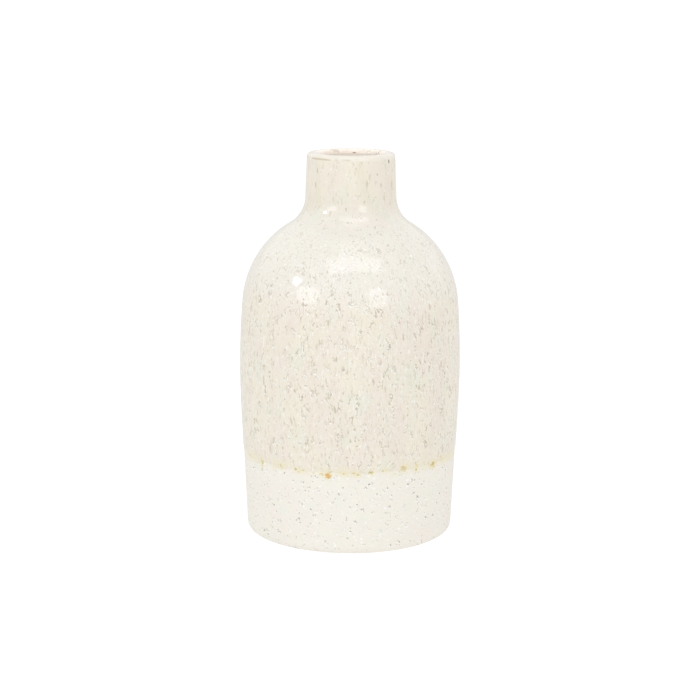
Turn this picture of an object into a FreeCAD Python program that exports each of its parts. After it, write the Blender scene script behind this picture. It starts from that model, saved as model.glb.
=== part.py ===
import FreeCAD, Part
import os
from collections import namedtuple
from enum import IntEnum
from math import asin, atan2, cos, pi, radians, sin, sqrt

import Sketcher

# Bottle vase of speckled stoneware, half glazed, in millimetres.
# It stands on Z = 0 and is round about the Z axis.
# A turned clay wall carries the outer glaze, that glaze's amber edge, and the liner glaze.

# Sizes are those of the finished vase, with its glaze on, unless the note says clay.
SIZES = [
    ("overall_height", 155, "ground to the top of the lip"),
    ("belly_diameter", 90, "widest point"),
    ("belly_height", 68, "height of the widest point"),
    ("belly_arc_radius", 335, "long curve of the side"),
    ("shoulder_drop", 59.6, "top of the lip down to where the side turns into the shoulder"),
    ("shoulder_radius", 40.3, "curve of the shoulder"),
    ("neck_sweep_radius", 12.7, "hollow curve from the shoulder to the neck"),
    ("neck_diameter", 35.6, "outside of the neck, just under the lip's rounding"),
    ("neck_wall_angle", 2.2, "degrees that the neck widens downwards"),
    ("lip_wall", 4.9, "wall at the lip, from the outside to the bore"),
    ("lip_round_share", 0.35, "part of the lip's wall that each of its edges is rounded by"),
    ("throat_radius", 15, "curve from the bore to the inner shoulder, clay"),
    ("lower_wall_angle", 2.6, "degrees that the lower wall narrows downwards"),
    ("foot_edge_radius", 3, "rounding where the wall meets the ground, clay"),
    ("body_wall", 4.4, "side wall, clay"),
    ("floor_thickness", 7, "ground to the top of the floor, clay"),
    ("floor_corner_radius", 9, "inside curve from the floor to the wall, clay"),
    ("foot_ring_width", 5, "flat ring that the vase stands on, before its edge is rounded"),
    ("foot_recess_depth", 2, "hollow inside the foot ring"),
    ("foot_recess_corner", 0.8, "curve at the top of that hollow"),
    ("foot_ring_round", 0.5, "rounding of the ring's inner edge"),
    ("glaze_thickness", 0.3, "glaze coat, outside and inside"),
    ("glaze_line_height", 33.3, "lower edge of the outer glaze"),
    ("glaze_edge_height", 2.6, "amber band at that edge"),
    ("glaze_edge_swell", 0.12, "how far the band's roll stands out from the glaze"),
    ("cut_overrun", 2, "how far a cutting outline runs past the clay"),
]

doc = FreeCAD.newDocument("bottle_vase")
sheet = doc.addObject("Spreadsheet::Sheet", "Sizes")
for row, (name, value, note) in enumerate(SIZES, start=1):
    sheet.set(f"A{row}", note)
    sheet.set(f"B{row}", str(value))
    sheet.setAlias(f"B{row}", name)
doc.recompute()


def size(name):
    return float(sheet.get(name))


def worth(rule):
    """What a rule written in the sheet's names comes to."""
    return float(sheet.evalExpression(rule))


# Depth of each surface below the finished one, and other sizes that follow from the sheet
FINISHED = "0"
BARE = "0"
CLAY = "Sizes.glaze_thickness"
HOLLOW = "(Sizes.glaze_thickness + Sizes.body_wall)"
LINER = "(2 * Sizes.glaze_thickness + Sizes.body_wall)"
LIP_ROUND = "(Sizes.lip_wall * Sizes.lip_round_share)"
BORE_RADIUS = "(Sizes.neck_diameter / 2 - Sizes.lip_wall)"
GLAZE_BOTTOM = "(Sizes.glaze_line_height + Sizes.glaze_edge_height)"
CLAY_TOP = "(Sizes.overall_height - Sizes.glaze_thickness)"
CLAY_BORE = "(Sizes.neck_diameter / 2 - Sizes.lip_wall + Sizes.glaze_thickness)"
SHOULDER_RISE = "(Sizes.overall_height - Sizes.shoulder_drop - Sizes.belly_height)"
RECESS_RADIUS = "(form_outline.Constraints.ground_radius / 1 mm - Sizes.foot_ring_width)"
BELLY_CENTRE_REACH = "(Sizes.belly_arc_radius - Sizes.belly_diameter / 2)"
LOWER_ANGLE = "(Sizes.lower_wall_angle * 1 deg)"
NECK_ANGLE = "(Sizes.neck_wall_angle * 1 deg)"
UPRIGHT = "90 deg"

FULL_TURN = 360
QUARTER_TURN = pi / 2
CUBIC_MM_IN_A_CUBIC_CM = 1000

# One line or arc of an outline: its geometry number, and the places where it begins and finishes
Run = namedtuple("Run", "number begin finish")


class Place(IntEnum):
    """How a sketch numbers the points of a line or arc."""

    START = 1
    END = 2
    CENTRE = 3


class Axis(IntEnum):
    """How a sketch numbers its own two axes, which start from its origin."""

    LEVEL = -1
    UPRIGHT = -2


ORIGIN = (Axis.LEVEL, Place.START)


def point(x, y):
    return FreeCAD.Vector(x, y, 0)


def polar(centre, radius, angle):
    return centre + point(radius * cos(angle), radius * sin(angle))


class Curves:
    """Where the curves of the finished surface have their centres and meet.

    Every other surface lies at a steady depth inside that one, so its arcs keep the same centres.
    All of it follows from the sheet, and gives the sketches a start that fits their dimensions.
    """

    def __init__(self):
        self.lower_angle = radians(size("lower_wall_angle"))
        self.neck_angle = radians(size("neck_wall_angle"))
        self.belly_radius = size("belly_arc_radius")
        self.belly = point(size("belly_diameter") / 2 - self.belly_radius, size("belly_height"))
        self.belly_turn = asin(worth(SHOULDER_RISE) / self.belly_radius)
        self.shoulder_radius = size("shoulder_radius")
        self.shoulder = polar(self.belly, self.belly_radius - self.shoulder_radius, self.belly_turn)
        self.lip_round = worth(LIP_ROUND)
        self.lip_level = size("overall_height") - self.lip_round
        self.lip = point(size("neck_diameter") / 2 - self.lip_round * cos(self.neck_angle), self.lip_level)
        self.bore_lip = point(worth(BORE_RADIUS) + self.lip_round, self.lip_level)
        self.sweep_radius = size("neck_sweep_radius")
        self.sweep, self.shoulder_turn = self.neck_sweep()

    def neck_sweep(self):
        """Centre of the sweep, outside the neck line and outside the shoulder by its own radius."""
        across = polar(point(0, 0), 1, self.neck_angle)
        upwards = point(-across.y, across.x)
        aside = across.dot(self.lip - self.shoulder) + self.lip_round + self.sweep_radius
        rise = sqrt((self.shoulder_radius + self.sweep_radius) ** 2 - aside**2)
        return self.shoulder + across * aside + upwards * rise, self.neck_angle + atan2(rise, aside)

    def throat(self, depth, bore_radius, radius):
        """Centre of the throat, and the angle at which the inner shoulder runs into it."""
        aside = bore_radius + radius - self.shoulder.x
        rise = sqrt((self.shoulder_radius - depth + radius) ** 2 - aside**2)
        return self.shoulder + point(aside, rise), atan2(rise, aside)

    def lower_wall(self, depth, height):
        """Point of the straight lower wall at this height."""
        top = polar(self.belly, self.belly_radius - depth, -self.lower_angle)
        return point(top.x - (top.y - height) * sin(self.lower_angle) / cos(self.lower_angle), height)

    def lower_corner(self, depth, radius, height):
        """Centre of a curve between a level line at this height and the lower wall."""
        wall = self.lower_wall(depth, height + radius)
        return wall - point(radius / cos(self.lower_angle), 0)


class Outline:
    """A sketch on the XZ plane of a body, drawn as lines and arcs that run on from each other."""

    def __init__(self, body, name):
        self.sketch = body.newObject("Sketcher::SketchObject", name)
        plane = next(f for f in body.Origin.OriginFeatures if f.Role == "XZ_Plane")
        self.sketch.AttachmentSupport = [(plane, "")]
        self.sketch.MapMode = "FlatFace"

    def line(self, start, end):
        return Run(self.sketch.addGeometry(Part.LineSegment(start, end), False), Place.START, Place.END)

    def arc(self, centre, radius, start_angle, end_angle):
        circle = Part.Circle(centre, FreeCAD.Vector(0, 0, 1), radius)
        low, high = sorted((start_angle, end_angle))
        number = self.sketch.addGeometry(Part.ArcOfCircle(circle, low, high), False)
        ends = (Place.START, Place.END) if start_angle < end_angle else (Place.END, Place.START)
        return Run(number, *ends)

    def guide_circle(self, centre, radius):
        circle = Part.Circle(centre, FreeCAD.Vector(0, 0, 1), radius)
        return Run(self.sketch.addGeometry(circle, True), None, None)

    def start_of(self, run):
        return self.sketch.getPoint(run.number, run.begin)

    def end_of(self, run):
        return self.sketch.getPoint(run.number, run.finish)

    def bridge(self, run, end, other, other_end):
        """Closes an outline with a straight line between two ends."""
        start = self.sketch.getPoint(run.number, end)
        gap = self.line(start, self.sketch.getPoint(other.number, other_end))
        self.relate("Coincident", gap.number, Place.START, run.number, end)
        self.relate("Coincident", gap.number, Place.END, other.number, other_end)

    def relate(self, kind, *places):
        self.sketch.addConstraint(Sketcher.Constraint(kind, *places))

    def smooth(self, *runs):
        for first, second in zip(runs, runs[1:]):
            self.relate("Tangent", first.number, first.finish, second.number, second.begin)

    def join(self, *runs):
        for first, second in zip(runs, runs[1:]):
            self.relate("Coincident", first.number, first.finish, second.number, second.begin)

    def level(self, *runs):
        for run in runs:
            self.relate("Horizontal", run.number)

    def plumb(self, *runs):
        for run in runs:
            self.relate("Vertical", run.number)

    def dimension(self, kind, *places, rule):
        value = self.sketch.evalExpression(rule)
        value = radians(value.Value) if kind == "Angle" else float(value)
        number = self.sketch.addConstraint(Sketcher.Constraint(kind, *places, value))
        self.sketch.setExpression(f"Constraints[{number}]", rule)

    def read_off(self, name, kind, *places):
        """A measured length that other outlines follow by its name."""
        number = self.sketch.addConstraint(Sketcher.Constraint(kind, *places, 1.0))
        self.sketch.setDriving(number, False)
        self.sketch.renameConstraint(number, name)

    def radius(self, run, rule):
        self.dimension("Radius", run.number, rule=rule)

    def height(self, run, place, rule):
        self.dimension("DistanceY", *ORIGIN, run.number, place, rule=rule)

    def reach(self, run, place, rule):
        self.dimension("DistanceX", *ORIGIN, run.number, place, rule=rule)

    def lean(self, run, rule):
        self.dimension("Angle", run.number, rule=rule)

    def on_axis(self, run, place):
        self.relate("PointOnObject", run.number, place, Axis.UPRIGHT)

    def centre_on_belly(self, run):
        self.dimension("DistanceX", run.number, Place.CENTRE, *ORIGIN, rule=BELLY_CENTRE_REACH)
        self.height(run, Place.CENTRE, "Sizes.belly_height")


def draw_side(outline, depth_rule, bottom, shoulder_turn):
    """Lower wall, belly and shoulder at one depth, from the bottom up."""
    belly_radius = curves.belly_radius - worth(depth_rule)
    shoulder_radius = curves.shoulder_radius - worth(depth_rule)
    wall = outline.line(bottom, polar(curves.belly, belly_radius, -curves.lower_angle))
    belly = outline.arc(curves.belly, belly_radius, -curves.lower_angle, curves.belly_turn)
    shoulder = outline.arc(curves.shoulder, shoulder_radius, curves.belly_turn, shoulder_turn)
    outline.smooth(wall, belly, shoulder)
    outline.lean(wall, f"{UPRIGHT} - {LOWER_ANGLE}")
    outline.radius(belly, f"Sizes.belly_arc_radius - {depth_rule}")
    outline.centre_on_belly(belly)
    outline.radius(shoulder, f"Sizes.shoulder_radius - {depth_rule}")
    rise = f"{SHOULDER_RISE} * (1 - {depth_rule} / Sizes.belly_arc_radius)"
    outline.height(belly, belly.finish, f"Sizes.belly_height + {rise}")
    return wall, shoulder


def draw_neck(outline, depth_rule, shoulder):
    """Sweep, neck and the lip's outer rounding at one depth, on from the shoulder."""
    sweep_radius = curves.sweep_radius + worth(depth_rule)
    lip_radius = curves.lip_round - worth(depth_rule)
    sweep = outline.arc(
        curves.sweep, sweep_radius, curves.shoulder_turn + pi, curves.neck_angle + pi
    )
    neck = outline.line(outline.end_of(sweep), polar(curves.lip, lip_radius, curves.neck_angle))
    lip = outline.arc(curves.lip, lip_radius, curves.neck_angle, QUARTER_TURN)
    outline.smooth(shoulder, sweep, neck, lip)
    outline.radius(sweep, f"Sizes.neck_sweep_radius + {depth_rule}")
    outline.lean(neck, f"{UPRIGHT} + {NECK_ANGLE}")
    outline.reach(neck, neck.finish, f"Sizes.neck_diameter / 2 - {depth_rule} * cos({NECK_ANGLE})")
    outline.radius(lip, f"{LIP_ROUND} - {depth_rule}")
    return lip


def draw_cover(outline, depth_rule):
    """One face of the outer glaze: up the side, over the lip and in to the bore."""
    bottom = curves.lower_wall(worth(depth_rule), worth(GLAZE_BOTTOM))
    wall, shoulder = draw_side(outline, depth_rule, bottom, curves.shoulder_turn)
    lip = draw_neck(outline, depth_rule, shoulder)
    lip_top = outline.end_of(lip)
    top = outline.line(lip_top, point(curves.bore_lip.x, lip_top.y))
    lip_radius = curves.lip_round - worth(depth_rule)
    inner_lip = outline.arc(curves.bore_lip, lip_radius, QUARTER_TURN, pi)
    outline.smooth(lip, top, inner_lip)
    outline.level(top)
    outline.relate("Horizontal", inner_lip.number, Place.CENTRE, inner_lip.number, inner_lip.finish)
    outline.height(wall, wall.begin, GLAZE_BOTTOM)
    outline.height(top, top.begin, f"Sizes.overall_height - {depth_rule}")
    outline.radius(inner_lip, f"{LIP_ROUND} - {depth_rule}")
    outline.reach(inner_lip, inner_lip.finish, f"{BORE_RADIUS} + {depth_rule}")
    return wall, inner_lip


def draw_hollow(outline, depth_rule, coat_rule):
    """Floor, side, throat and bore of the inside, from the axis out and up.

    A coat of glaze moves each of them further in by its thickness.
    """
    coat = worth(coat_rule)
    floor_height = size("floor_thickness") + coat
    corner_radius = size("floor_corner_radius") - coat
    throat_radius = size("throat_radius") + coat
    bore_radius = worth(CLAY_BORE) - coat
    corner_centre = curves.lower_corner(worth(depth_rule), corner_radius, floor_height)
    throat_centre, shoulder_turn = curves.throat(worth(depth_rule), bore_radius, throat_radius)
    floor = outline.line(point(0, floor_height), point(corner_centre.x, floor_height))
    corner = outline.arc(corner_centre, corner_radius, -QUARTER_TURN, -curves.lower_angle)
    wall, shoulder = draw_side(outline, depth_rule, outline.end_of(corner), shoulder_turn)
    throat = outline.arc(throat_centre, throat_radius, shoulder_turn + pi, pi)
    bore = outline.line(outline.end_of(throat), point(bore_radius, curves.lip_level))
    outline.smooth(floor, corner, wall)
    outline.smooth(shoulder, throat, bore)
    outline.on_axis(floor, floor.begin)
    outline.level(floor)
    outline.plumb(bore)
    outline.height(floor, floor.begin, f"Sizes.floor_thickness + {coat_rule}")
    outline.radius(corner, f"Sizes.floor_corner_radius - {coat_rule}")
    outline.radius(throat, f"Sizes.throat_radius + {coat_rule}")
    outline.reach(bore, bore.finish, f"{CLAY_BORE} - {coat_rule}")
    return floor, bore


def new_body(name):
    body = doc.addObject("PartDesign::Body", name)
    body.Label = name
    body.Placement = FreeCAD.Placement()
    return body


def turn(body, kind, name, outline):
    """A full turn of an outline about the vase's axis, added as clay or taken away as a groove."""
    feature = body.newObject(kind, name)
    feature.Profile = outline.sketch
    feature.ReferenceAxis = (outline.sketch, ["V_Axis"])
    feature.Angle = FULL_TURN
    doc.recompute()
    if not outline.sketch.FullyConstrained:
        raise RuntimeError(f"{outline.sketch.Name} isn't held by its dimensions")
    return feature


def make_form(body):
    """The solid outer form of the clay, before it is hollowed."""
    outline = Outline(body, "form_outline")
    edge_radius = size("foot_edge_radius")
    edge_centre = curves.lower_corner(worth(CLAY), edge_radius, 0)
    base = outline.line(point(0, 0), point(edge_centre.x, 0))
    edge = outline.arc(edge_centre, edge_radius, -QUARTER_TURN, -curves.lower_angle)
    wall, shoulder = draw_side(outline, CLAY, outline.end_of(edge), curves.shoulder_turn)
    lip = draw_neck(outline, CLAY, shoulder)
    top = outline.line(outline.end_of(lip), point(0, outline.end_of(lip).y))
    axis = outline.line(outline.end_of(top), point(0, 0))
    outline.smooth(base, edge, wall)
    outline.smooth(lip, top)
    outline.join(top, axis, base)
    outline.relate("Coincident", base.number, base.begin, *ORIGIN)
    outline.level(base, top)
    outline.on_axis(top, top.finish)
    outline.radius(edge, "Sizes.foot_edge_radius")
    outline.height(top, top.begin, f"Sizes.overall_height - {CLAY}")
    outline.read_off("ground_radius", "DistanceX", *ORIGIN, base.number, base.finish)
    return turn(body, "PartDesign::Revolution", "form", outline)


def make_hollow(body):
    """The belly, throat and bore, with the lip's inner rounding."""
    outline = Outline(body, "hollow_outline")
    floor, bore = draw_hollow(outline, HOLLOW, BARE)
    inner_lip = outline.arc(curves.bore_lip, curves.lip_round - worth(CLAY), pi, QUARTER_TURN)
    way_out = point(curves.bore_lip.x, worth(CLAY_TOP) + size("cut_overrun"))
    rise = outline.line(outline.end_of(inner_lip), way_out)
    lid = outline.line(way_out, point(0, way_out.y))
    axis = outline.line(outline.end_of(lid), outline.start_of(floor))
    outline.smooth(bore, inner_lip)
    outline.join(inner_lip, rise, lid, axis, floor)
    outline.relate("Vertical", inner_lip.number, Place.CENTRE, inner_lip.number, inner_lip.finish)
    outline.plumb(rise)
    outline.level(lid)
    outline.on_axis(lid, lid.finish)
    outline.radius(inner_lip, f"{LIP_ROUND} - {CLAY}")
    outline.height(inner_lip, Place.CENTRE, f"Sizes.overall_height - {LIP_ROUND}")
    outline.height(lid, lid.begin, f"{CLAY_TOP} + Sizes.cut_overrun")
    return turn(body, "PartDesign::Groove", "hollow", outline)


def make_foot_recess(body):
    """The shallow recess that leaves the vase standing on a ring."""
    outline = Outline(body, "recess_outline")
    radius = worth(RECESS_RADIUS)
    depth = size("foot_recess_depth")
    corner_radius = size("foot_recess_corner")
    corner_centre = point(radius - corner_radius, depth - corner_radius)
    below = -size("cut_overrun")
    wall = outline.line(point(radius, below), point(radius, corner_centre.y))
    corner = outline.arc(corner_centre, corner_radius, 0, QUARTER_TURN)
    top = outline.line(outline.end_of(corner), point(0, depth))
    axis = outline.line(point(0, depth), point(0, below))
    base = outline.line(point(0, below), point(radius, below))
    outline.smooth(wall, corner, top)
    outline.join(top, axis, base, wall)
    outline.plumb(wall)
    outline.level(top, base)
    outline.on_axis(top, top.finish)
    outline.on_axis(base, base.begin)
    outline.radius(corner, "Sizes.foot_recess_corner")
    outline.height(top, top.begin, "Sizes.foot_recess_depth")
    outline.dimension("DistanceY", base.number, base.begin, *ORIGIN, rule="Sizes.cut_overrun")
    outline.reach(wall, wall.begin, RECESS_RADIUS)
    return turn(body, "PartDesign::Groove", "foot_recess", outline)


def round_ring_edge(body, recess):
    """Takes the sharpness off the inner edge of the foot ring."""
    edges = recess.Shape.Edges
    on_ground = [n for n in range(len(edges)) if edges[n].BoundBox.ZMax < size("foot_ring_round")]
    inner = min(on_ground, key=lambda n: edges[n].BoundBox.XMax)
    rounding = body.newObject("PartDesign::Fillet", "ring_round")
    rounding.Base = (recess, [f"Edge{inner + 1}"])
    rounding.setExpression("Radius", "Sizes.foot_ring_round")
    doc.recompute()
    return rounding


def make_clay_body():
    body = new_body("clay_body")
    form = make_form(body)
    hollow = make_hollow(body)
    recess = make_foot_recess(body)
    rounding = round_ring_edge(body, recess)
    steps = [feature.Shape.Volume for feature in (form, hollow, recess, rounding)]
    if steps != sorted(steps, reverse=True) or len(set(steps)) < len(steps):
        raise RuntimeError(f"a cut took no clay: {steps}")
    return body


def make_outer_glaze():
    """The dipped glaze, from the top of its amber edge, over the lip, to the bore."""
    body = new_body("outer_glaze")
    outline = Outline(body, "glaze_outline")
    outer_wall, outer_lip = draw_cover(outline, FINISHED)
    inner_wall, inner_lip = draw_cover(outline, CLAY)
    outline.bridge(outer_wall, outer_wall.begin, inner_wall, inner_wall.begin)
    outline.bridge(outer_lip, outer_lip.finish, inner_lip, inner_lip.finish)
    turn(body, "PartDesign::Revolution", "glaze", outline)
    return body


def make_liner_glaze():
    """The poured glaze, from the middle of the floor to the outer glaze in the bore."""
    body = new_body("liner_glaze")
    outline = Outline(body, "liner_outline")
    clay_floor, clay_bore = draw_hollow(outline, HOLLOW, BARE)
    floor, bore = draw_hollow(outline, LINER, CLAY)
    for wall in (clay_bore, bore):
        outline.height(wall, wall.finish, f"Sizes.overall_height - {LIP_ROUND}")
    outline.bridge(clay_floor, clay_floor.begin, floor, floor.begin)
    outline.bridge(clay_bore, clay_bore.finish, bore, bore.finish)
    turn(body, "PartDesign::Revolution", "liner", outline)
    return body


def make_glaze_edge():
    """The amber band, which ends in a roll that curls down on to the bare clay."""
    body = new_body("glaze_edge")
    outline = Outline(body, "edge_outline")
    thickness = worth(CLAY)
    roll_radius = thickness + size("glaze_edge_swell")
    bottom = curves.lower_wall(thickness, size("glaze_line_height"))
    top = curves.lower_wall(thickness, worth(GLAZE_BOTTOM))
    roll_centre = bottom + (top - bottom).normalize() * roll_radius
    roll_start = -curves.lower_angle
    guide = outline.guide_circle(curves.belly, curves.belly_radius - thickness)
    clay = outline.line(bottom, top)
    rim = outline.line(top, top + point(thickness / cos(curves.lower_angle), 0))
    face = outline.line(outline.end_of(rim), polar(roll_centre, roll_radius, roll_start))
    roll = outline.arc(roll_centre, roll_radius, roll_start, roll_start - QUARTER_TURN)
    outline.relate("Tangent", clay.number, guide.number)
    outline.join(clay, rim, face)
    outline.smooth(face, roll)
    outline.join(roll, clay)
    outline.level(rim)
    outline.relate("PointOnObject", roll.number, Place.CENTRE, clay.number)
    outline.radius(guide, f"Sizes.belly_arc_radius - {CLAY}")
    outline.centre_on_belly(guide)
    outline.lean(clay, f"{UPRIGHT} - {LOWER_ANGLE}")
    outline.height(clay, clay.begin, "Sizes.glaze_line_height")
    outline.height(clay, clay.finish, GLAZE_BOTTOM)
    rim_rule = f"{CLAY} / cos({LOWER_ANGLE})"
    outline.dimension("DistanceX", rim.number, Place.START, rim.number, Place.END, rule=rim_rule)
    outline.radius(roll, f"{CLAY} + Sizes.glaze_edge_swell")
    turn(body, "PartDesign::Revolution", "edge", outline)
    return body


curves = Curves()
pieces = [make_clay_body(), make_outer_glaze(), make_glaze_edge(), make_liner_glaze()]
doc.recompute()

for thing in doc.Objects:
    if {"Invalid", "Error"} & set(thing.State):
        raise RuntimeError(f"{thing.Name} failed: {thing.State}")
for piece in pieces:
    if piece.Shape.isNull() or not piece.Shape.isValid():
        raise RuntimeError(f"{piece.Label} has no sound shape")

os.makedirs("parts", exist_ok=True)
for piece in pieces:
    piece.Shape.exportStep(f"parts/{piece.Label}.step")
    volume = piece.Shape.Volume / CUBIC_MM_IN_A_CUBIC_CM
    print(f"{piece.Label}: {volume:.2f} cubic centimetres")
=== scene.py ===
import random
from math import asin, atan2, cos, pi, radians, sin, sqrt, tan

import bmesh
import bpy
from mathutils import Matrix, Quaternion, Vector, noise


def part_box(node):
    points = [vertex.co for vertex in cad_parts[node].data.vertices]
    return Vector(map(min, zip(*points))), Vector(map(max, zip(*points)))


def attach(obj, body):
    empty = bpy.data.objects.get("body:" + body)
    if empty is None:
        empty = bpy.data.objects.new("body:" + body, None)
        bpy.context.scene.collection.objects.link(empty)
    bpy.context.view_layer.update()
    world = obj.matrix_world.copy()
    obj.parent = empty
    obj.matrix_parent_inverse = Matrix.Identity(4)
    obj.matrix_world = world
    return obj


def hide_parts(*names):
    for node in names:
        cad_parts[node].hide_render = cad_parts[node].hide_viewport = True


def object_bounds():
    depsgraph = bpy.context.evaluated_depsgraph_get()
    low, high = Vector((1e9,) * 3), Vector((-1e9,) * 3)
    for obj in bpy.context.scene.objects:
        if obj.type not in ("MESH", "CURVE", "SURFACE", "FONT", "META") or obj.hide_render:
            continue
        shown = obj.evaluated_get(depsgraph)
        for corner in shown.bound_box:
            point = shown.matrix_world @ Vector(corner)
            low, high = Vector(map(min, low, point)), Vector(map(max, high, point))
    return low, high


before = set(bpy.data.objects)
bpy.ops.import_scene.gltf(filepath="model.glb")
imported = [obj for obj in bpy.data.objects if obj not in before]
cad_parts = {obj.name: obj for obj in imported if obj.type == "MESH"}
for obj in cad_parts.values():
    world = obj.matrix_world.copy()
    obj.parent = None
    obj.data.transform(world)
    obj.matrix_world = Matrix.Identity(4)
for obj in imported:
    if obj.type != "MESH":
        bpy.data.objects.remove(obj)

# A round-shouldered stoneware bottle vase: glossy streaked glaze down to a level amber line,
# then bare speckled clay. Lengths are in metres, and the vase stands on Z = 0, round about Z.

CAD_LOW, CAD_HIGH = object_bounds()
MM = 0.001
BODY = "root"

# The finished outline that the vase was turned to
HEIGHT = CAD_HIGH.z
BELLY_RADIUS = 45.0 * MM
BELLY_HEIGHT = 68.0 * MM
BELLY_ARC = 335.0 * MM
SHOULDER_DROP = 59.6 * MM
SHOULDER_ARC = 40.3 * MM
SWEEP_ARC = 12.7 * MM
NECK_RADIUS = 17.8 * MM
NECK_LEAN = radians(2.2)
LIP_WALL = 4.9 * MM
LIP_ROUND_SHARE = 0.35
LOWER_LEAN = radians(2.6)
GLAZE = 0.3 * MM

# Heights of the glaze's level line, and of the top of its thickened edge
GLAZE_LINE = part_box("glaze_edge")[0].z
EDGE_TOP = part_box("glaze_edge")[1].z


def polar(centre, radius, angle):
    return centre + Vector((radius * cos(angle), radius * sin(angle)))


class Outline:
    """The finished surface from the ground edge to the bore, as places a given way along it."""

    def __init__(self):
        belly = Vector((BELLY_RADIUS - BELLY_ARC, BELLY_HEIGHT))
        belly_turn = asin((HEIGHT - SHOULDER_DROP - BELLY_HEIGHT) / BELLY_ARC)
        shoulder = polar(belly, BELLY_ARC - SHOULDER_ARC, belly_turn)
        lip_round = LIP_WALL * LIP_ROUND_SHARE
        lip = Vector((NECK_RADIUS - lip_round * cos(NECK_LEAN), HEIGHT - lip_round))
        bore_lip = Vector((NECK_RADIUS - LIP_WALL + lip_round, lip.y))
        across = polar(Vector((0, 0)), 1, NECK_LEAN)
        upwards = Vector((-across.y, across.x))
        aside = across.dot(lip - shoulder) + lip_round + SWEEP_ARC
        rise = sqrt((SHOULDER_ARC + SWEEP_ARC) ** 2 - aside**2)
        sweep = shoulder + across * aside + upwards * rise
        shoulder_turn = NECK_LEAN + atan2(rise, aside)
        self.runs = []
        wall_top = polar(belly, BELLY_ARC, -LOWER_LEAN)
        wall_foot = Vector((wall_top.x - wall_top.y * tan(LOWER_LEAN), 0))
        self.add_line(wall_foot, wall_top)
        self.add_arc(belly, BELLY_ARC, -LOWER_LEAN, belly_turn)
        self.add_arc(shoulder, SHOULDER_ARC, belly_turn, shoulder_turn)
        self.add_arc(sweep, SWEEP_ARC, shoulder_turn + pi, NECK_LEAN + pi)
        self.add_line(polar(sweep, SWEEP_ARC, NECK_LEAN + pi), polar(lip, lip_round, NECK_LEAN))
        self.add_arc(lip, lip_round, NECK_LEAN, pi / 2)
        self.add_line(Vector((lip.x, HEIGHT)), Vector((bore_lip.x, HEIGHT)))
        self.add_arc(bore_lip, lip_round, pi / 2, pi)
        self.length = sum(length for length, _ in self.runs)

    def add_line(self, start, end):
        along = (end - start).normalized()
        out = Vector((along.y, -along.x))

        def place(way):
            return start + along * way, out

        self.runs.append(((end - start).length, place))

    def add_arc(self, centre, radius, start_angle, end_angle):
        turn = 1 if end_angle > start_angle else -1

        def place(way):
            angle = start_angle + turn * way / radius
            return polar(centre, radius, angle), polar(Vector((0, 0)), turn, angle)

        self.runs.append((abs(end_angle - start_angle) * radius, place))

    def at(self, way):
        """The point of the outline this far along it, and the direction out of the clay there."""
        for length, place in self.runs[:-1]:
            if way <= length:
                return place(way)
            way -= length
        length, place = self.runs[-1]
        return place(min(way, length))

    def way_to_height(self, height):
        """How far along the outline it first reaches this height, on the lower wall or belly."""
        low, high = 0.0, self.length / 2
        for _ in range(60):
            middle = (low + high) / 2
            low, high = (middle, high) if self.at(middle)[0].y < height else (low, middle)
        return low


OUTLINE = Outline()


def mesh_object(name, bm, material):
    mesh = bpy.data.meshes.new(name)
    bm.normal_update()
    bm.to_mesh(mesh)
    bm.free()
    piece = bpy.data.objects.new(name, mesh)
    bpy.context.scene.collection.objects.link(piece)
    mesh.materials.append(material)
    return piece


def spin(bm, rows, sides):
    """A closed skin of revolution. rows is a list of functions from angle to (radius, height)."""
    rings = []
    for row in rows:
        ring = []
        for k in range(sides):
            angle = 2 * pi * k / sides
            radius, height = row(angle)
            ring.append(bm.verts.new((radius * cos(angle), radius * sin(angle), height)))
        rings.append(ring)
    for low, high in zip(rings, rings[1:] + rings[:1]):
        for k in range(sides):
            after = (k + 1) % sides
            bm.faces.new((low[k], low[after], high[after], high[k]))


def unevenness(angle, way, wavelength, seed):
    """Smooth noise over the surface, from -1 to 1, alike on both sides of the seam."""
    reach = BELLY_RADIUS / wavelength
    return noise.noise(Vector((cos(angle) * reach, sin(angle) * reach, way / wavelength + seed)))


# The melted surface of the glaze: how far it sinks from the finished size, and over what lengths
SLUMP = 0.07 * MM
SLUMP_LENGTH = 14 * MM
RIPPLE = 0.007 * MM
RIPPLE_LENGTH = 3.5 * MM

# The wandering lower edge of the glaze, either way from its mean line, and how far along the
# outline that line lies over the CAD's
WANDER = 0.45 * MM
WANDER_LENGTH = 9 * MM
FINE_WANDER = 0.25 * MM
FINE_WANDER_LENGTH = 3.2 * MM
EDGE_RISE = 0.5 * MM

# How finely the meshes are divided
COAT_SIDES = 288
COAT_STEP = 0.6 * MM
HIDDEN_STEP = 2.4 * MM
EDGE_SIDES = 720
EDGE_STEPS = 16
CORNER_ANGLE = radians(35)


def glaze_dip(angle, way):
    slump = 0.5 + 0.5 * unevenness(angle, way, SLUMP_LENGTH, 3.1)
    ripple = 0.5 + 0.5 * unevenness(angle, way, RIPPLE_LENGTH, 8.7)
    return SLUMP * slump + RIPPLE * ripple


def surface_row(way, depth, uneven):
    """A ring of the surface at this depth under the finished one."""
    (radius, height), (out, up) = OUTLINE.at(way)

    def place(angle):
        sunk = depth + (glaze_dip(angle, way) if uneven else 0)
        return radius - out * sunk, height - up * sunk

    return place


def keep_corners(bm):
    """Smooth faces, with creases only where two faces meet at a real corner."""
    bm.normal_update()
    for face in bm.faces:
        face.smooth = True
    for edge in bm.edges:
        edge.smooth = edge.calc_face_angle(0) < CORNER_ANGLE


def steps(start, end, spacing):
    count = max(1, round((end - start) / spacing))
    return [start + (end - start) * k / count for k in range(count + 1)]


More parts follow.
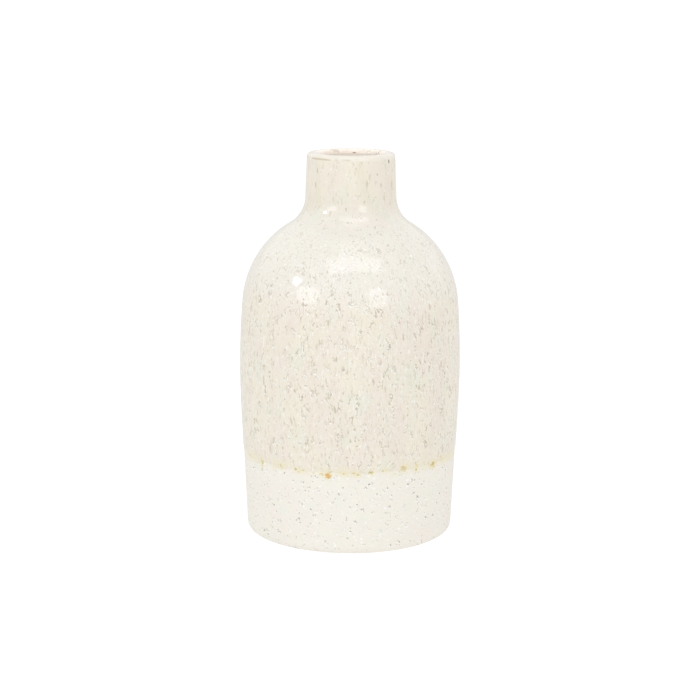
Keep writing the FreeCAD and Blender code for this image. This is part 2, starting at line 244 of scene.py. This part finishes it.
def make_outer_glaze(material):
    """The dipped coat from its amber edge up to the bore, slightly uneven as melted glaze is."""
    start = OUTLINE.way_to_height(EDGE_TOP)
    end = OUTLINE.length
    outside = [surface_row(way, 0, True) for way in steps(start, end, COAT_STEP)]
    inside = [surface_row(way, GLAZE, False) for way in reversed(steps(start, end, HIDDEN_STEP))]
    bm = bmesh.new()
    spin(bm, outside + inside, COAT_SIDES)
    keep_corners(bm)
    piece = mesh_object("outer_glaze_coat", bm, material)
    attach(piece, BODY)
    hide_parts("outer_glaze")


def edge_line(angle):
    """How far the glaze's edge lies over its mean line, or under it."""
    slow = unevenness(angle, 0, WANDER_LENGTH, 21.4)
    fine = unevenness(angle, 0, FINE_WANDER_LENGTH, 5.9)
    return WANDER * slow + FINE_WANDER * fine


def make_glaze_edge(material):
    """The coat's amber edge, which thins to a wandering line on the bare clay."""
    top = OUTLINE.way_to_height(EDGE_TOP)
    bottom = OUTLINE.way_to_height(GLAZE_LINE) + EDGE_RISE

    def row(share, lift):
        def place(angle):
            way = bottom + (top - bottom) * share + edge_line(angle) * (1 - share)
            (radius, height), (out, up) = OUTLINE.at(way)
            full = glaze_dip(angle, top)
            grown = share * (2 - share)
            sunk = GLAZE - lift * (GLAZE - full) * grown
            return radius - out * sunk, height - up * sunk

        return place

    shares = [k / EDGE_STEPS for k in range(EDGE_STEPS + 1)]
    outside = [row(share, 1) for share in shares]
    inside = [row(share, 0) for share in reversed(shares[1:])]
    bm = bmesh.new()
    spin(bm, outside + inside, EDGE_SIDES)
    bmesh.ops.remove_doubles(bm, verts=bm.verts, dist=1e-7)
    keep_corners(bm)
    piece = mesh_object("glaze_edge_band", bm, material)
    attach(piece, BODY)
    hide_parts("glaze_edge")


# Materials

class Nodes:
    """Short calls for wiring one material."""

    def __init__(self, name):
        self.material = bpy.data.materials.new(name)
        self.material.use_nodes = True
        self.tree = self.material.node_tree
        self.shader = self.tree.nodes["Principled BSDF"]
        self.place = self.add("ShaderNodeTexCoord").outputs["Object"]
        parts = self.add("ShaderNodeSeparateXYZ")
        self.feed(parts.inputs[0], self.place)
        self.height = parts.outputs[2]

    def add(self, kind, **settings):
        node = self.tree.nodes.new(kind)
        for name, value in settings.items():
            setattr(node, name, value)
        return node

    def feed(self, socket, value):
        if isinstance(value, bpy.types.NodeSocket):
            self.tree.links.new(value, socket)
        else:
            socket.default_value = value

    def math(self, operation, *values):
        node = self.add("ShaderNodeMath", operation=operation)
        for socket, value in zip(node.inputs, values):
            self.feed(socket, value)
        return node.outputs[0]

    def times(self, *values):
        product = values[0]
        for value in values[1:]:
            product = self.math("MULTIPLY", product, value)
        return product

    def vector(self, operation, *values):
        node = self.add("ShaderNodeVectorMath", operation=operation)
        for socket, value in zip(node.inputs, values):
            self.feed(socket, value)
        return node.outputs["Value" if operation in ("DISTANCE", "LENGTH") else "Vector"]

    def above(self, value, low, width):
        """0 below a level that may itself be a socket, 1 once this far above it."""
        return self.spread(self.math("SUBTRACT", value, low), 0.0, width)

    def spread(self, value, low, high, to_low=0.0, to_high=1.0):
        """Maps low..high smoothly to to_low..to_high, and holds the ends."""
        node = self.add("ShaderNodeMapRange", interpolation_type="SMOOTHSTEP")
        for socket, given in zip(node.inputs, (value, low, high, to_low, to_high)):
            self.feed(socket, given)
        return node.outputs[0]

    def between(self, low, high, soft):
        """1 between two heights, and 0 past them, with a soft change at each."""
        rising = self.spread(self.height, low - soft, low + soft)
        return self.times(rising, self.spread(self.height, high - soft, high + soft, 1.0, 0.0))

    def cloud(self, place, length, detail=2.0, seed=0.0):
        """Smooth noise with features about this long, from 0 to 1."""
        node = self.add("ShaderNodeTexNoise", noise_dimensions="4D")
        self.feed(node.inputs["Vector"], place)
        self.feed(node.inputs["W"], seed)
        self.feed(node.inputs["Scale"], 1 / length)
        self.feed(node.inputs["Detail"], detail)
        return node.outputs[0]

    def stretched(self, place, stretch):
        """Places squeezed in height, so that what is drawn on them runs down the wall."""
        return self.vector("MULTIPLY", place, (1, 1, 1 / stretch))

    def push(self, length, reach, seed, lift=0.0):
        """A small way aside at each place, drawn from noise with features about this long."""
        node = self.add("ShaderNodeTexNoise", noise_dimensions="4D")
        self.feed(node.inputs["Vector"], self.place)
        self.feed(node.inputs["W"], seed)
        self.feed(node.inputs["Scale"], 1 / length)
        self.feed(node.inputs["Detail"], 1.0)
        push = self.vector("SUBTRACT", node.outputs["Color"], (0.5, 0.5, 0.5))
        return self.vector("MULTIPLY", push, (reach, reach, lift))

    def bent(self, length, reach, seed):
        """Places pushed about by noise, so that what is drawn on them wanders."""
        return self.vector("ADD", self.place, self.push(length, reach, seed))

    def blend(self, share, first, second):
        node = self.add("ShaderNodeMix", data_type="RGBA")
        self.feed(node.inputs["Factor"], share)
        self.feed(node.inputs[6], first)
        self.feed(node.inputs[7], second)
        return node.outputs[2]

    def specks(self, place, cell, chance, radii, soft, seed):
        """Rounded spots, one at most in each cell, from 0 outside to between 0.4 and 1 inside."""
        node = self.add("ShaderNodeTexVoronoi", voronoi_dimensions="4D", feature="F1")
        self.feed(node.inputs["Vector"], place)
        self.feed(node.inputs["W"], seed)
        self.feed(node.inputs["Scale"], 1 / cell)
        pick = self.add("ShaderNodeSeparateColor")
        self.feed(pick.inputs[0], node.outputs["Color"])
        there = self.math("LESS_THAN", pick.outputs[0], chance)
        radius = self.math("MULTIPLY_ADD", pick.outputs[1], (radii[1] - radii[0]) / cell, radii[0] / cell)
        outer = self.math("ADD", radius, soft / cell)
        inner = self.math("SUBTRACT", radius, soft / cell)
        inside = self.spread(node.outputs["Distance"], outer, inner)
        strength = self.math("MULTIPLY_ADD", pick.outputs[2], 0.6, 0.4)
        return self.times(there, inside, strength)

    def worms(self, place, length, seed, rare=0.5):
        """Short wavering lines: where one noise crosses its middle and another is high."""
        wave = self.cloud(place, length, 1.0, seed)
        off = self.math("ABSOLUTE", self.math("SUBTRACT", wave, 0.5))
        line = self.spread(off, 0.012, 0.048, 1.0, 0.0)
        gate = self.cloud(place, 1.2 * length, 1.0, seed + 7)
        return self.times(line, self.above(gate, rare, 0.08))

    def bump(self, height, distance, strength):
        node = self.add("ShaderNodeBump")
        self.feed(node.inputs["Strength"], strength)
        self.feed(node.inputs["Distance"], distance)
        self.feed(node.inputs["Height"], height)
        return node.outputs[0]


# How many times brighter than its own colour a wall looks under the studio's light
LIT = 1.165
# Less of it gets into the mouth, so the colours made with this are painted brighter: painted light that
# makes up for the mouth's shade
MOUTH_LIT = 1.03


def colour(red, green, blue, lit=LIT):
    """The paint that looks so on a screen, 0 to 255, once the studio's light falls on it."""

    def linear(part):
        share = part / 255
        return (share / 12.92 if share <= 0.04045 else ((share + 0.055) / 1.055) ** 2.4) / lit

    return (linear(red), linear(green), linear(blue), 1.0)


# Colours of the glaze and the clay
CREAM = colour(243, 235, 219)
PEACH = colour(241, 230, 218)
SAGE = colour(237, 234, 219)
# Painted light: the paler colour of the shoulder, which faces the light from above
SHOULDER_PAINTED_LIGHT = colour(244, 240, 232)
STREAK = colour(198, 186, 162)
DASH = colour(196, 179, 153)
SOOT = colour(192, 181, 161)
PALE = colour(255, 254, 251)
HONEY = colour(241, 232, 203)
OLIVE = colour(232, 225, 205)
RIM_DOT = colour(176, 160, 112)
STAIN = colour(243, 228, 168)
STAIN_HEART = colour(226, 180, 116)
GOLD = colour(200, 182, 120)
CLAY_WHITE = colour(246, 241, 231)
CLAY_PINK = colour(246, 239, 230)
CLAY_GREEN = colour(243, 241, 230)
IRON = colour(161, 152, 136)
# Painted light: the liner's colours are painted brighter than the outer glaze's, to make up for the
# mouth's shade
LINER_PEACH_PAINTED_LIGHT = colour(253, 240, 229, MOUTH_LIT)
LINER_SAGE_PAINTED_LIGHT = colour(247, 240, 229, MOUTH_LIT)
LIP_BROWN = colour(202, 188, 160)
LICHEN = colour(192, 190, 165)
MOUTH_BROWN = colour(184, 162, 138)
# Painted light: the paler peach of the lip's top and rounding, which face the light from above
LIP_PEACH_PAINTED_LIGHT = colour(247, 239, 229)

# Where the melted iron gathered at the glaze's line, as the photograph shows it: degrees round from
# the front, then height over the line, half width and half height in millimetres, and how orange.
STAINS = [
    (-53.0, 0.2, 1.3, 1.9, 0.6),
    (-37.5, 0.8, 1.9, 1.2, 0.0),
    (-29.2, 0.5, 0.9, 0.8, 0.55),
    (-27.0, -0.4, 0.9, 0.8, 0.55),
    (-24.6, 0.4, 0.7, 0.7, 0.5),
    (-18.5, -0.1, 0.7, 0.8, 0.4),
    (-14.2, -0.3, 1.4, 1.1, 0.3),
    (-11.2, -0.7, 1.5, 1.6, 1.0),
    (-3.3, 0.5, 1.9, 0.8, 0.0),
    (2.3, 0.4, 0.8, 0.8, 0.5),
    (4.5, -0.2, 0.9, 0.9, 0.5),
    (11.4, 0.5, 1.1, 1.1, 0.7),
    (18.8, 1.2, 1.9, 1.0, 0.0),
    (29.5, 1.0, 1.9, 1.7, 0.4),
    (37.6, 0.5, 0.8, 1.9, 0.6),
    (50.0, 0.4, 2.2, 1.7, 0.7),
    (57.5, 1.4, 1.6, 1.5, 0.0),
    (66.0, 1.0, 2.0, 1.4, 0.0),
]
# The stains that the photograph doesn't show, and the degrees of the turn that they share
BACK_STAINS = 16
BACK_FROM = 72
BACK_TURN = 228
# The least orange that gives a stain a heart
HEART_FROM = 0.75


def all_stains():
    """The stains of the photographed side, and others like them round the back."""
    chance = random.Random(41)
    stains = list(STAINS)
    for k in range(BACK_STAINS):
        around = BACK_FROM + (BACK_TURN / BACK_STAINS) * (k + chance.uniform(0.15, 0.85))
        wide = chance.uniform(0.5, 1.5)
        up = chance.uniform(-0.4, 1.0)
        tall = chance.uniform(0.7, 1.6)
        orange = chance.random() ** 2
        stains.append((around, up, wide, tall, orange))
    return stains


def stain_masks(n):
    """How far each place is in the yellow halo, the gold core and the orange heart of a stain."""
    place = n.bent(1.6 * MM, 1.1 * MM, 13.0)
    rough = n.cloud(n.place, 0.8 * MM, 2.0, 15.0)
    halos, cores, hearts = 0.0, 0.0, 0.0
    for around, up, wide, tall, orange in all_stains():
        height = GLAZE_LINE + up * MM
        reach = OUTLINE.at(OUTLINE.way_to_height(height))[0].x
        a = radians(around)
        away = n.vector("SUBTRACT", place, (reach * sin(a), -reach * cos(a), height))
        shape = (1 / (wide * MM), 1 / (wide * MM), 1 / (tall * MM))
        far = n.vector("LENGTH", n.vector("MULTIPLY", away, shape))
        far = n.math("MULTIPLY_ADD", n.math("SUBTRACT", rough, 0.5), 2.4, far)
        halos = n.math("MAXIMUM", halos, n.spread(far, 1.6, 0.4, 0.0, 0.3 + 0.45 * orange))
        cores = n.math("MAXIMUM", cores, n.spread(far, 0.75, 0.2, 0.0, min(1, 1.4 * orange)))
        if orange > HEART_FROM:
            hearts = n.math("MAXIMUM", hearts, n.spread(far, 0.9, 0.3, 0.0, orange))
    return halos, cores, hearts


def amber(n, base):
    """Honey tint where the coat thins at its line, with beads of melted iron."""
    place = n.bent(2 * MM, 0.6 * MM, 16.0)
    ragged = n.cloud(n.stretched(n.place, 2.0), 2.6 * MM, 2.0, 17.0)
    height = n.math("ADD", n.height, n.math("MULTIPLY", n.math("SUBTRACT", ragged, 0.5), 2.0 * MM))
    rising = n.spread(height, GLAZE_LINE - 2.6 * MM, GLAZE_LINE - 0.2 * MM)
    falling = n.spread(height, GLAZE_LINE + 1.0 * MM, GLAZE_LINE + 4.5 * MM, 1.0, 0.0)
    tint = n.times(rising, falling, n.spread(n.cloud(n.place, 6 * MM, 1.0, 18.0), 0.35, 0.65, 0.1, 0.6))
    base = n.blend(tint, base, HONEY)
    halos, cores, hearts = stain_masks(n)
    base = n.blend(halos, base, STAIN)
    dots = n.specks(n.stretched(place, 1.4), 0.95 * MM, 1.0, (0.22 * MM, 0.4 * MM), 0.1 * MM, 19.0)
    base = n.blend(cores, base, GOLD)
    base = n.blend(n.times(n.math("MINIMUM", n.times(halos, 2.0), 1.0), dots), base, RIM_DOT)
    return n.blend(hearts, base, STAIN_HEART)


# Heights on the vase between which the glaze changes its look
NECK_FROM = 122 * MM
NECK_FULL = 130 * MM
SHOULDER_ZONE = (101 * MM, 131 * MM, 8 * MM)
WALL_ZONE = (37 * MM, 104 * MM, 6 * MM)
# How long a wavering iron mark's waves are, and how far the marks are drawn out down the wall
WORM_LENGTH = 1.45 * MM
WORM_STRETCH = 2.2
DOT_STRETCH = 1.6
RUN_STRETCH = 3.6


def glaze_tones(n, place, neck, shoulder, lip):
    """The glaze's cream ground, with soft patches, painted light that makes the upward-facing shoulder
    and lip paler, and streaky grain.
    """
    patch = n.cloud(n.stretched(place, 2.0), 9 * MM, 3.0, 4.0)
    other = n.cloud(n.stretched(place, 2.2), 6 * MM, 3.0, 9.0)
    base = n.blend(n.spread(patch, 0.38, 0.64), CREAM, PEACH)
    base = n.blend(n.spread(other, 0.46, 0.72), base, SAGE)
    olive = n.spread(n.cloud(n.stretched(place, 3.5), 5 * MM, 2.0, 37.0), 0.48, 0.62)
    base = n.blend(n.times(olive, n.math("MULTIPLY_ADD", neck, 0.2, 0.2)), base, OLIVE)
    # Painted light: the shoulder and the lip are drawn paler where they face the light from above
    base = n.blend(n.times(shoulder, 0.6), base, SHOULDER_PAINTED_LIGHT)
    base = n.blend(n.times(lip, 0.6), base, LIP_PEACH_PAINTED_LIGHT)
    grain = n.cloud(n.stretched(place, 4.5), 0.6 * MM, 2.0, 3.0)
    calm = n.math("SUBTRACT", 1.0, n.times(neck, 0.6))
    base = n.blend(n.times(n.spread(grain, 0.42, 0.28, 0.0, 0.4), calm), base, STREAK)
    return n.blend(n.times(n.spread(grain, 0.58, 0.72, 0.0, 0.7), calm), base, PALE)


def pale_marks(n, place, base, few, shoulder, rare):
    """The pale rims beside the iron marks, and pale flecks between them."""
    beside = n.vector("ADD", n.stretched(place, WORM_STRETCH), (0.2 * MM, 0.14 * MM, 0.2 * MM))
    rims = n.times(n.worms(beside, WORM_LENGTH, 7.0, rare), 0.7)
    base = n.blend(n.times(rims, few), base, PALE)
    dot_place = n.stretched(place, DOT_STRETCH)
    flecks = n.specks(dot_place, 1.2 * MM, few, (0.2 * MM, 0.36 * MM), 0.08 * MM, 25.0)
    return n.blend(n.times(flecks, n.math("MULTIPLY_ADD", shoulder, 0.4, 0.6)), base, PALE)


def iron_marks(n, place, base, few, neck, rare):
    """Long faint runs, short wavering marks and dots of iron, thicker on the wall than above it."""
    wall = n.between(*WALL_ZONE)
    presence = n.math("MULTIPLY_ADD", wall, 0.32, 0.56)
    presence = n.math("MULTIPLY_ADD", neck, 0.34, presence)
    busy = n.spread(n.cloud(n.stretched(place, 1.6), 6 * MM, 2.0, 6.0), 0.38, 0.6, 0.4, 1.0)
    runs = n.times(presence, busy)
    run_place = n.stretched(place, RUN_STRETCH)
    long_runs = n.specks(run_place, 1.2 * MM, few, (0.26 * MM, 0.46 * MM), 0.16 * MM, 2.0)
    worms = n.worms(n.stretched(place, WORM_STRETCH), WORM_LENGTH, 7.0, rare)
    dot_place = n.stretched(place, DOT_STRETCH)
    dots = n.specks(dot_place, 1.6 * MM, few, (0.2 * MM, 0.34 * MM), 0.1 * MM, 5.0)
    iron = n.blend(n.spread(n.cloud(place, 5 * MM, 1.0, 35.0), 0.45, 0.6), DASH, SOOT)
    base = n.blend(n.times(long_runs, runs), base, STREAK)
    base = n.blend(n.times(worms, runs, few), base, iron)
    return n.blend(dots, base, iron)


def runny_glaze(n):
    """Colour of the reactive glaze: cream with soft patches, brown runs, dots and pale flecks."""
    place = n.vector("ADD", n.bent(7 * MM, 2.6 * MM, 1.0), n.push(0.8 * MM, 1.0 * MM, 33.0))
    neck = n.spread(n.height, NECK_FROM, NECK_FULL)
    shoulder = n.between(*SHOULDER_ZONE)
    lip = n.spread(n.height, HEIGHT - 2.8 * MM, HEIGHT - 0.8 * MM)
    few = n.math("MULTIPLY", n.math("SUBTRACT", 0.9, n.times(neck, 0.45)), n.math("SUBTRACT", 1.0, lip))
    rare = n.math("MULTIPLY_ADD", neck, 0.04, 0.5)
    base = glaze_tones(n, place, neck, shoulder, lip)
    base = pale_marks(n, place, base, few, shoulder, rare)
    return iron_marks(n, place, base, few, neck, rare)


# The glaze's gloss
GLAZE_IOR = 1.5
SMOOTHEST = 0.04
ROUGHEST = 0.09
PEEL = 0.2 * MM
PEEL_LENGTH = 7 * MM


def glossy(n):
    """The glaze's gloss, with the faint waves that soften the edges of what it reflects."""
    n.shader.inputs["IOR"].default_value = GLAZE_IOR
    wave = n.cloud(n.place, 5 * MM, 2.0, 12.0)
    n.feed(n.shader.inputs["Roughness"], n.spread(wave, 0.3, 0.7, SMOOTHEST, ROUGHEST))
    peel = n.cloud(n.place, PEEL_LENGTH, 0.0, 11.0)
    n.feed(n.shader.inputs["Normal"], n.bump(peel, PEEL, 0.5))


# The thin brown line under the lip on the left, where the photograph shows it
BROW_LINE_PLACE = (-14.5 * MM, -10.5 * MM, HEIGHT - 2 * MM)
BROW_LINE_REACH = 21 * MM
BROW_ZONE = (HEIGHT - 1.9 * MM, HEIGHT - 1.3 * MM, 0.35 * MM)
# Marks on the lip, and a painted shade at its back left inside: place and reach in millimetres, with X
# and Y from the axis and Z from the lip's top
LIP_DASH = ((14.9, -9.7, -2.7), (0.5, 0.5, 0.9))
MOUTH_DASH = ((1.3, 13.0, -1.6), (0.8, 0.8, 0.4))
BACK_LEFT_PAINTED_SHADE = ((-7.0, 13.4, -0.6), (5.5, 3.0, 1.6))
# Painted shade: the darker wedge at the back left inside the mouth, where the wall is out of the light
LICHEN_PATCH = ((10.5, 10.5, 0.0), (6.5, 6.0, 2.5))
# Distances from the axis at which the lip's outer colour starts to give way to the liner's brighter
# colour, painted light against the mouth's shade, and is gone
INNER_FROM = 15.8 * MM
INNER_FULL = 14.4 * MM


def mark(n, where):
    """1 at a mark on the lip, and 0 a little past its reach."""
    place, reach = where
    middle = Vector(place) * MM + Vector((0, 0, HEIGHT))
    away = n.vector("SUBTRACT", n.place, middle)
    far = n.vector("LENGTH", n.vector("MULTIPLY", away, [1 / (part * MM) for part in reach]))
    return n.spread(far, 1.2, 0.6)


def lip_marks(n, base):
    """The peach inside of the lip, painted brighter as painted light against the mouth's shade, the brown
    line under it, its few darker marks, and a painted shade at the back left inside the mouth.
    """
    brow = n.between(*BROW_ZONE)
    brow_tint = n.spread(n.cloud(n.place, 6 * MM, 2.0, 31.0), 0.42, 0.6, 0.0, 0.85)
    left = n.spread(n.vector("DISTANCE", n.place, BROW_LINE_PLACE), BROW_LINE_REACH, BROW_LINE_REACH / 2)
    base = n.blend(n.times(brow, brow_tint, left), base, LIP_BROWN)
    across = n.vector("LENGTH", n.vector("MULTIPLY", n.place, (1, 1, 0)))
    # Painted light: the inside of the lip takes the liner's brighter colour, against the shade in the
    # mouth
    base = n.blend(n.spread(across, INNER_FROM, INNER_FULL), base, LINER_PEACH_PAINTED_LIGHT)
    base = n.blend(mark(n, LIP_DASH), base, IRON)
    base = n.blend(mark(n, MOUTH_DASH), base, MOUTH_BROWN)
    # Painted shade: a brown cloud at the back left inside the mouth, where the wall lies in shade
    shade_cloud = n.spread(n.cloud(n.place, 2.5 * MM, 2.0, 51.0), 0.42, 0.62)
    base = n.blend(n.times(mark(n, BACK_LEFT_PAINTED_SHADE), shade_cloud, 0.55), base, LIP_BROWN)
    lichen = n.worms(n.place, 1.6 * MM, 53.0, 0.42)
    return n.blend(n.times(mark(n, LICHEN_PATCH), lichen, 0.8), base, LICHEN)


def outer_glaze_material():
    n = Nodes("streaked_glaze")
    base = lip_marks(n, runny_glaze(n))
    n.feed(n.shader.inputs["Base Color"], amber(n, base))
    glossy(n)
    return n.material


def glaze_edge_material():
    n = Nodes("amber_edge")
    bare = n.blend(n.cloud(n.place, 9 * MM, 1.0, 2.0), CLAY_WHITE, CLAY_PINK)
    ragged = n.cloud(n.place, 2.2 * MM, 2.0, 14.0)
    height = n.math("ADD", n.height, n.math("MULTIPLY", n.math("SUBTRACT", ragged, 0.5), 2.4 * MM))
    covered = n.spread(height, GLAZE_LINE - 0.4 * MM, GLAZE_LINE + 1.6 * MM)
    base = n.blend(covered, bare, runny_glaze(n))
    n.feed(n.shader.inputs["Base Color"], amber(n, base))
    glossy(n)
    return n.material


# The clay's iron dots and marks, and how far aside the pale rim of each lies
DOT_CELL = 1.5 * MM
MARK_LENGTH = 1.3 * MM
RIM_ASIDE = (0.2 * MM, 0.1 * MM, 0.36 * MM)
CLAY_ROUGHNESS = 0.6


def clay_specks(n, base):
    """Iron dots of two sizes and short iron marks, with paler clay beside them."""
    place = n.vector("ADD", n.place, n.push(0.7 * MM, 1.5 * MM, 36.0, 1.1 * MM))
    dots = n.specks(place, DOT_CELL, 0.4, (0.24 * MM, 0.46 * MM), 0.1 * MM, 3.0)
    small = n.specks(place, 1.1 * MM, 0.3, (0.1 * MM, 0.22 * MM), 0.06 * MM, 23.0)
    marks = n.worms(place, MARK_LENGTH, 43.0, 0.61)
    beside = n.vector("ADD", place, RIM_ASIDE)
    dot_rims = n.specks(beside, DOT_CELL, 0.6, (0.4 * MM, 0.62 * MM), 0.08 * MM, 3.0)
    mark_rims = n.worms(beside, MARK_LENGTH, 43.0, 0.59)
    base = n.blend(n.math("MAXIMUM", dot_rims, mark_rims), base, PALE)
    base = n.blend(n.times(small, 0.7), base, IRON)
    base = n.blend(n.times(marks, 0.85), base, IRON)
    return n.blend(dots, base, IRON)


def bare_clay_material():
    n = Nodes("speckled_clay")
    tone = n.cloud(n.place, 9 * MM, 2.0, 2.0)
    other = n.cloud(n.place, 8 * MM, 2.0, 8.0)
    base = n.blend(n.spread(tone, 0.45, 0.65), CLAY_WHITE, CLAY_PINK)
    base = n.blend(n.spread(other, 0.5, 0.68), base, CLAY_GREEN)
    fine = n.cloud(n.place, 0.9 * MM, 2.0, 21.0)
    base = n.blend(n.spread(fine, 0.42, 0.3, 0.0, 0.1), base, IRON)
    n.feed(n.shader.inputs["Base Color"], amber(n, clay_specks(n, base)))
    n.shader.inputs["Roughness"].default_value = CLAY_ROUGHNESS
    grain = n.cloud(n.place, 0.5 * MM, 3.0, 1.0)
    n.feed(n.shader.inputs["Normal"], n.bump(grain, 0.03 * MM, 0.5))
    return n.material


def liner_glaze_material():
    n = Nodes("liner_glaze")
    tone = n.spread(n.cloud(n.place, 7 * MM, 2.0, 3.0), 0.42, 0.62)
    # The liner's colours are painted brighter than the outer glaze's: painted light against the mouth's
    # shade
    base = n.blend(tone, LINER_PEACH_PAINTED_LIGHT, LINER_SAGE_PAINTED_LIGHT)
    dots = n.specks(n.place, 1.3 * MM, 0.6, (0.14 * MM, 0.3 * MM), 0.1 * MM, 6.0)
    n.feed(n.shader.inputs["Base Color"], n.blend(dots, base, DASH))
    glossy(n)
    return n.material


def dress(node, material):
    """Gives a node of the frame its own material."""
    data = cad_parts[node].data
    data.materials.clear()
    data.materials.append(material)


# The stage, the light and the camera

# The floor gives most of its white itself, so that it is as even and bright as in the photograph
FLOOR_HALF = 15.0
FLOOR_PAINT = 0.3
FLOOR_GLOW = 0.78
FLOOR_ROUGHNESS = 0.9
# The camera, as fitted to the photograph's outline
CAMERA_RISE = radians(11.577)
CAMERA_REACH = 775 * MM
CAMERA_AIM = Vector((0, 0, 74.1 * MM))
CAMERA_ROLL = radians(0.33)
SENSOR = 36.0
LENS = 97.49
# The boxes' size and place are angles seen from LIT_PLACE, and the tent is the world around
LIT_PLACE = Vector((0, 0, 110 * MM))
LIGHT_REACH = 1.3
BOX_TINT = (0.88, 0.95, 1.0)
TENT_TINT = (1.0, 0.99, 0.975, 1.0)
TENT_LOW = 0.83
TENT_HIGH = 0.86
TENT_RIGHT = 0.02


def make_floor():
    bm = bmesh.new()
    corners = ((-1, -1), (1, -1), (1, 1), (-1, 1))
    bm.faces.new([bm.verts.new((x * FLOOR_HALF, y * FLOOR_HALF, 0)) for x, y in corners])
    n = Nodes("white_floor")
    n.shader.inputs["Base Color"].default_value = (FLOOR_PAINT, FLOOR_PAINT, FLOOR_PAINT, 1)
    n.shader.inputs["Roughness"].default_value = FLOOR_ROUGHNESS
    n.shader.inputs["Emission Color"].default_value = (1, 1, 1, 1)
    n.shader.inputs["Emission Strength"].default_value = FLOOR_GLOW
    floor = mesh_object("floor", bm, n.material)
    floor.visible_glossy = False


def soft_box(name, azimuth, elevation, wide, tall, brightness, lean=0):
    """An oblong light, with its place, size and lean in degrees as seen from LIT_PLACE."""
    a, e = radians(azimuth), radians(elevation)
    towards = Vector((sin(a) * cos(e), -cos(a) * cos(e), sin(e)))
    data = bpy.data.lights.new(name, "AREA")
    data.shape = "RECTANGLE"
    data.color = BOX_TINT
    data.size = 2 * LIGHT_REACH * tan(radians(wide) / 2)
    data.size_y = 2 * LIGHT_REACH * tan(radians(tall) / 2)
    data.energy = brightness * pi * data.size * data.size_y
    light = bpy.data.objects.new(name, data)
    light.location = LIT_PLACE + towards * LIGHT_REACH
    facing = towards.to_track_quat("Z", "Y") @ Quaternion((0, 0, 1), radians(lean))
    light.rotation_euler = facing.to_euler()
    light.visible_camera = False
    bpy.context.scene.collection.objects.link(light)


def hang_boxes():
    """The soft boxes whose reflections the photograph shows, and two faint ones that fill in."""
    soft_box("top_box", 7, 60, 50, 19, 1.85)
    soft_box("left_strip", -48, 19, 22, 16, 2.4)
    soft_box("right_strip", 30.5, 20, 18, 20, 2.2)
    soft_box("window", -67.3, 29.6, 8.2, 8, 8, -14)
    soft_box("overhead", 2, 80, 22, 20, 0.8)
    soft_box("back_sweep", 180, 42, 120, 50, 0.25)


def light_tent():
    """The white tent round the studio, a little brighter above and to the right."""
    world = bpy.data.worlds.new("studio")
    bpy.context.scene.world = world
    world.use_nodes = True
    tree = world.node_tree
    background = tree.nodes["Background"]
    background.inputs["Color"].default_value = TENT_TINT
    parts = tree.nodes.new("ShaderNodeSeparateXYZ")
    tree.links.new(tree.nodes.new("ShaderNodeTexCoord").outputs["Generated"], parts.inputs[0])
    sky = tree.nodes.new("ShaderNodeMapRange")
    sky.inputs["To Min"].default_value = TENT_LOW
    sky.inputs["To Max"].default_value = TENT_HIGH
    tree.links.new(parts.outputs[2], sky.inputs["Value"])
    side = tree.nodes.new("ShaderNodeMath")
    side.operation = "MULTIPLY_ADD"
    side.inputs[1].default_value = TENT_RIGHT
    tree.links.new(parts.outputs[0], side.inputs[0])
    tree.links.new(sky.outputs[0], side.inputs[2])
    tree.links.new(side.outputs[0], background.inputs["Strength"])


def make_camera():
    back = Vector((0, -cos(CAMERA_RISE), sin(CAMERA_RISE)))
    data = bpy.data.cameras.new("camera")
    data.sensor_width = SENSOR
    data.lens = LENS
    camera = bpy.data.objects.new("camera", data)
    stand = Matrix.Translation(CAMERA_AIM + back * CAMERA_REACH)
    turn = back.to_track_quat("Z", "Y").to_matrix().to_4x4()
    camera.matrix_world = stand @ turn @ Matrix.Rotation(CAMERA_ROLL, 4, "Z")
    bpy.context.scene.collection.objects.link(camera)
    bpy.context.scene.camera = camera


make_outer_glaze(outer_glaze_material())
make_glaze_edge(glaze_edge_material())
dress("clay_body", bare_clay_material())
dress("liner_glaze", liner_glaze_material())
make_floor()
hang_boxes()
light_tent()
make_camera()
bpy.context.scene.view_settings.view_transform = "Standard"

bpy.context.view_layer.update()
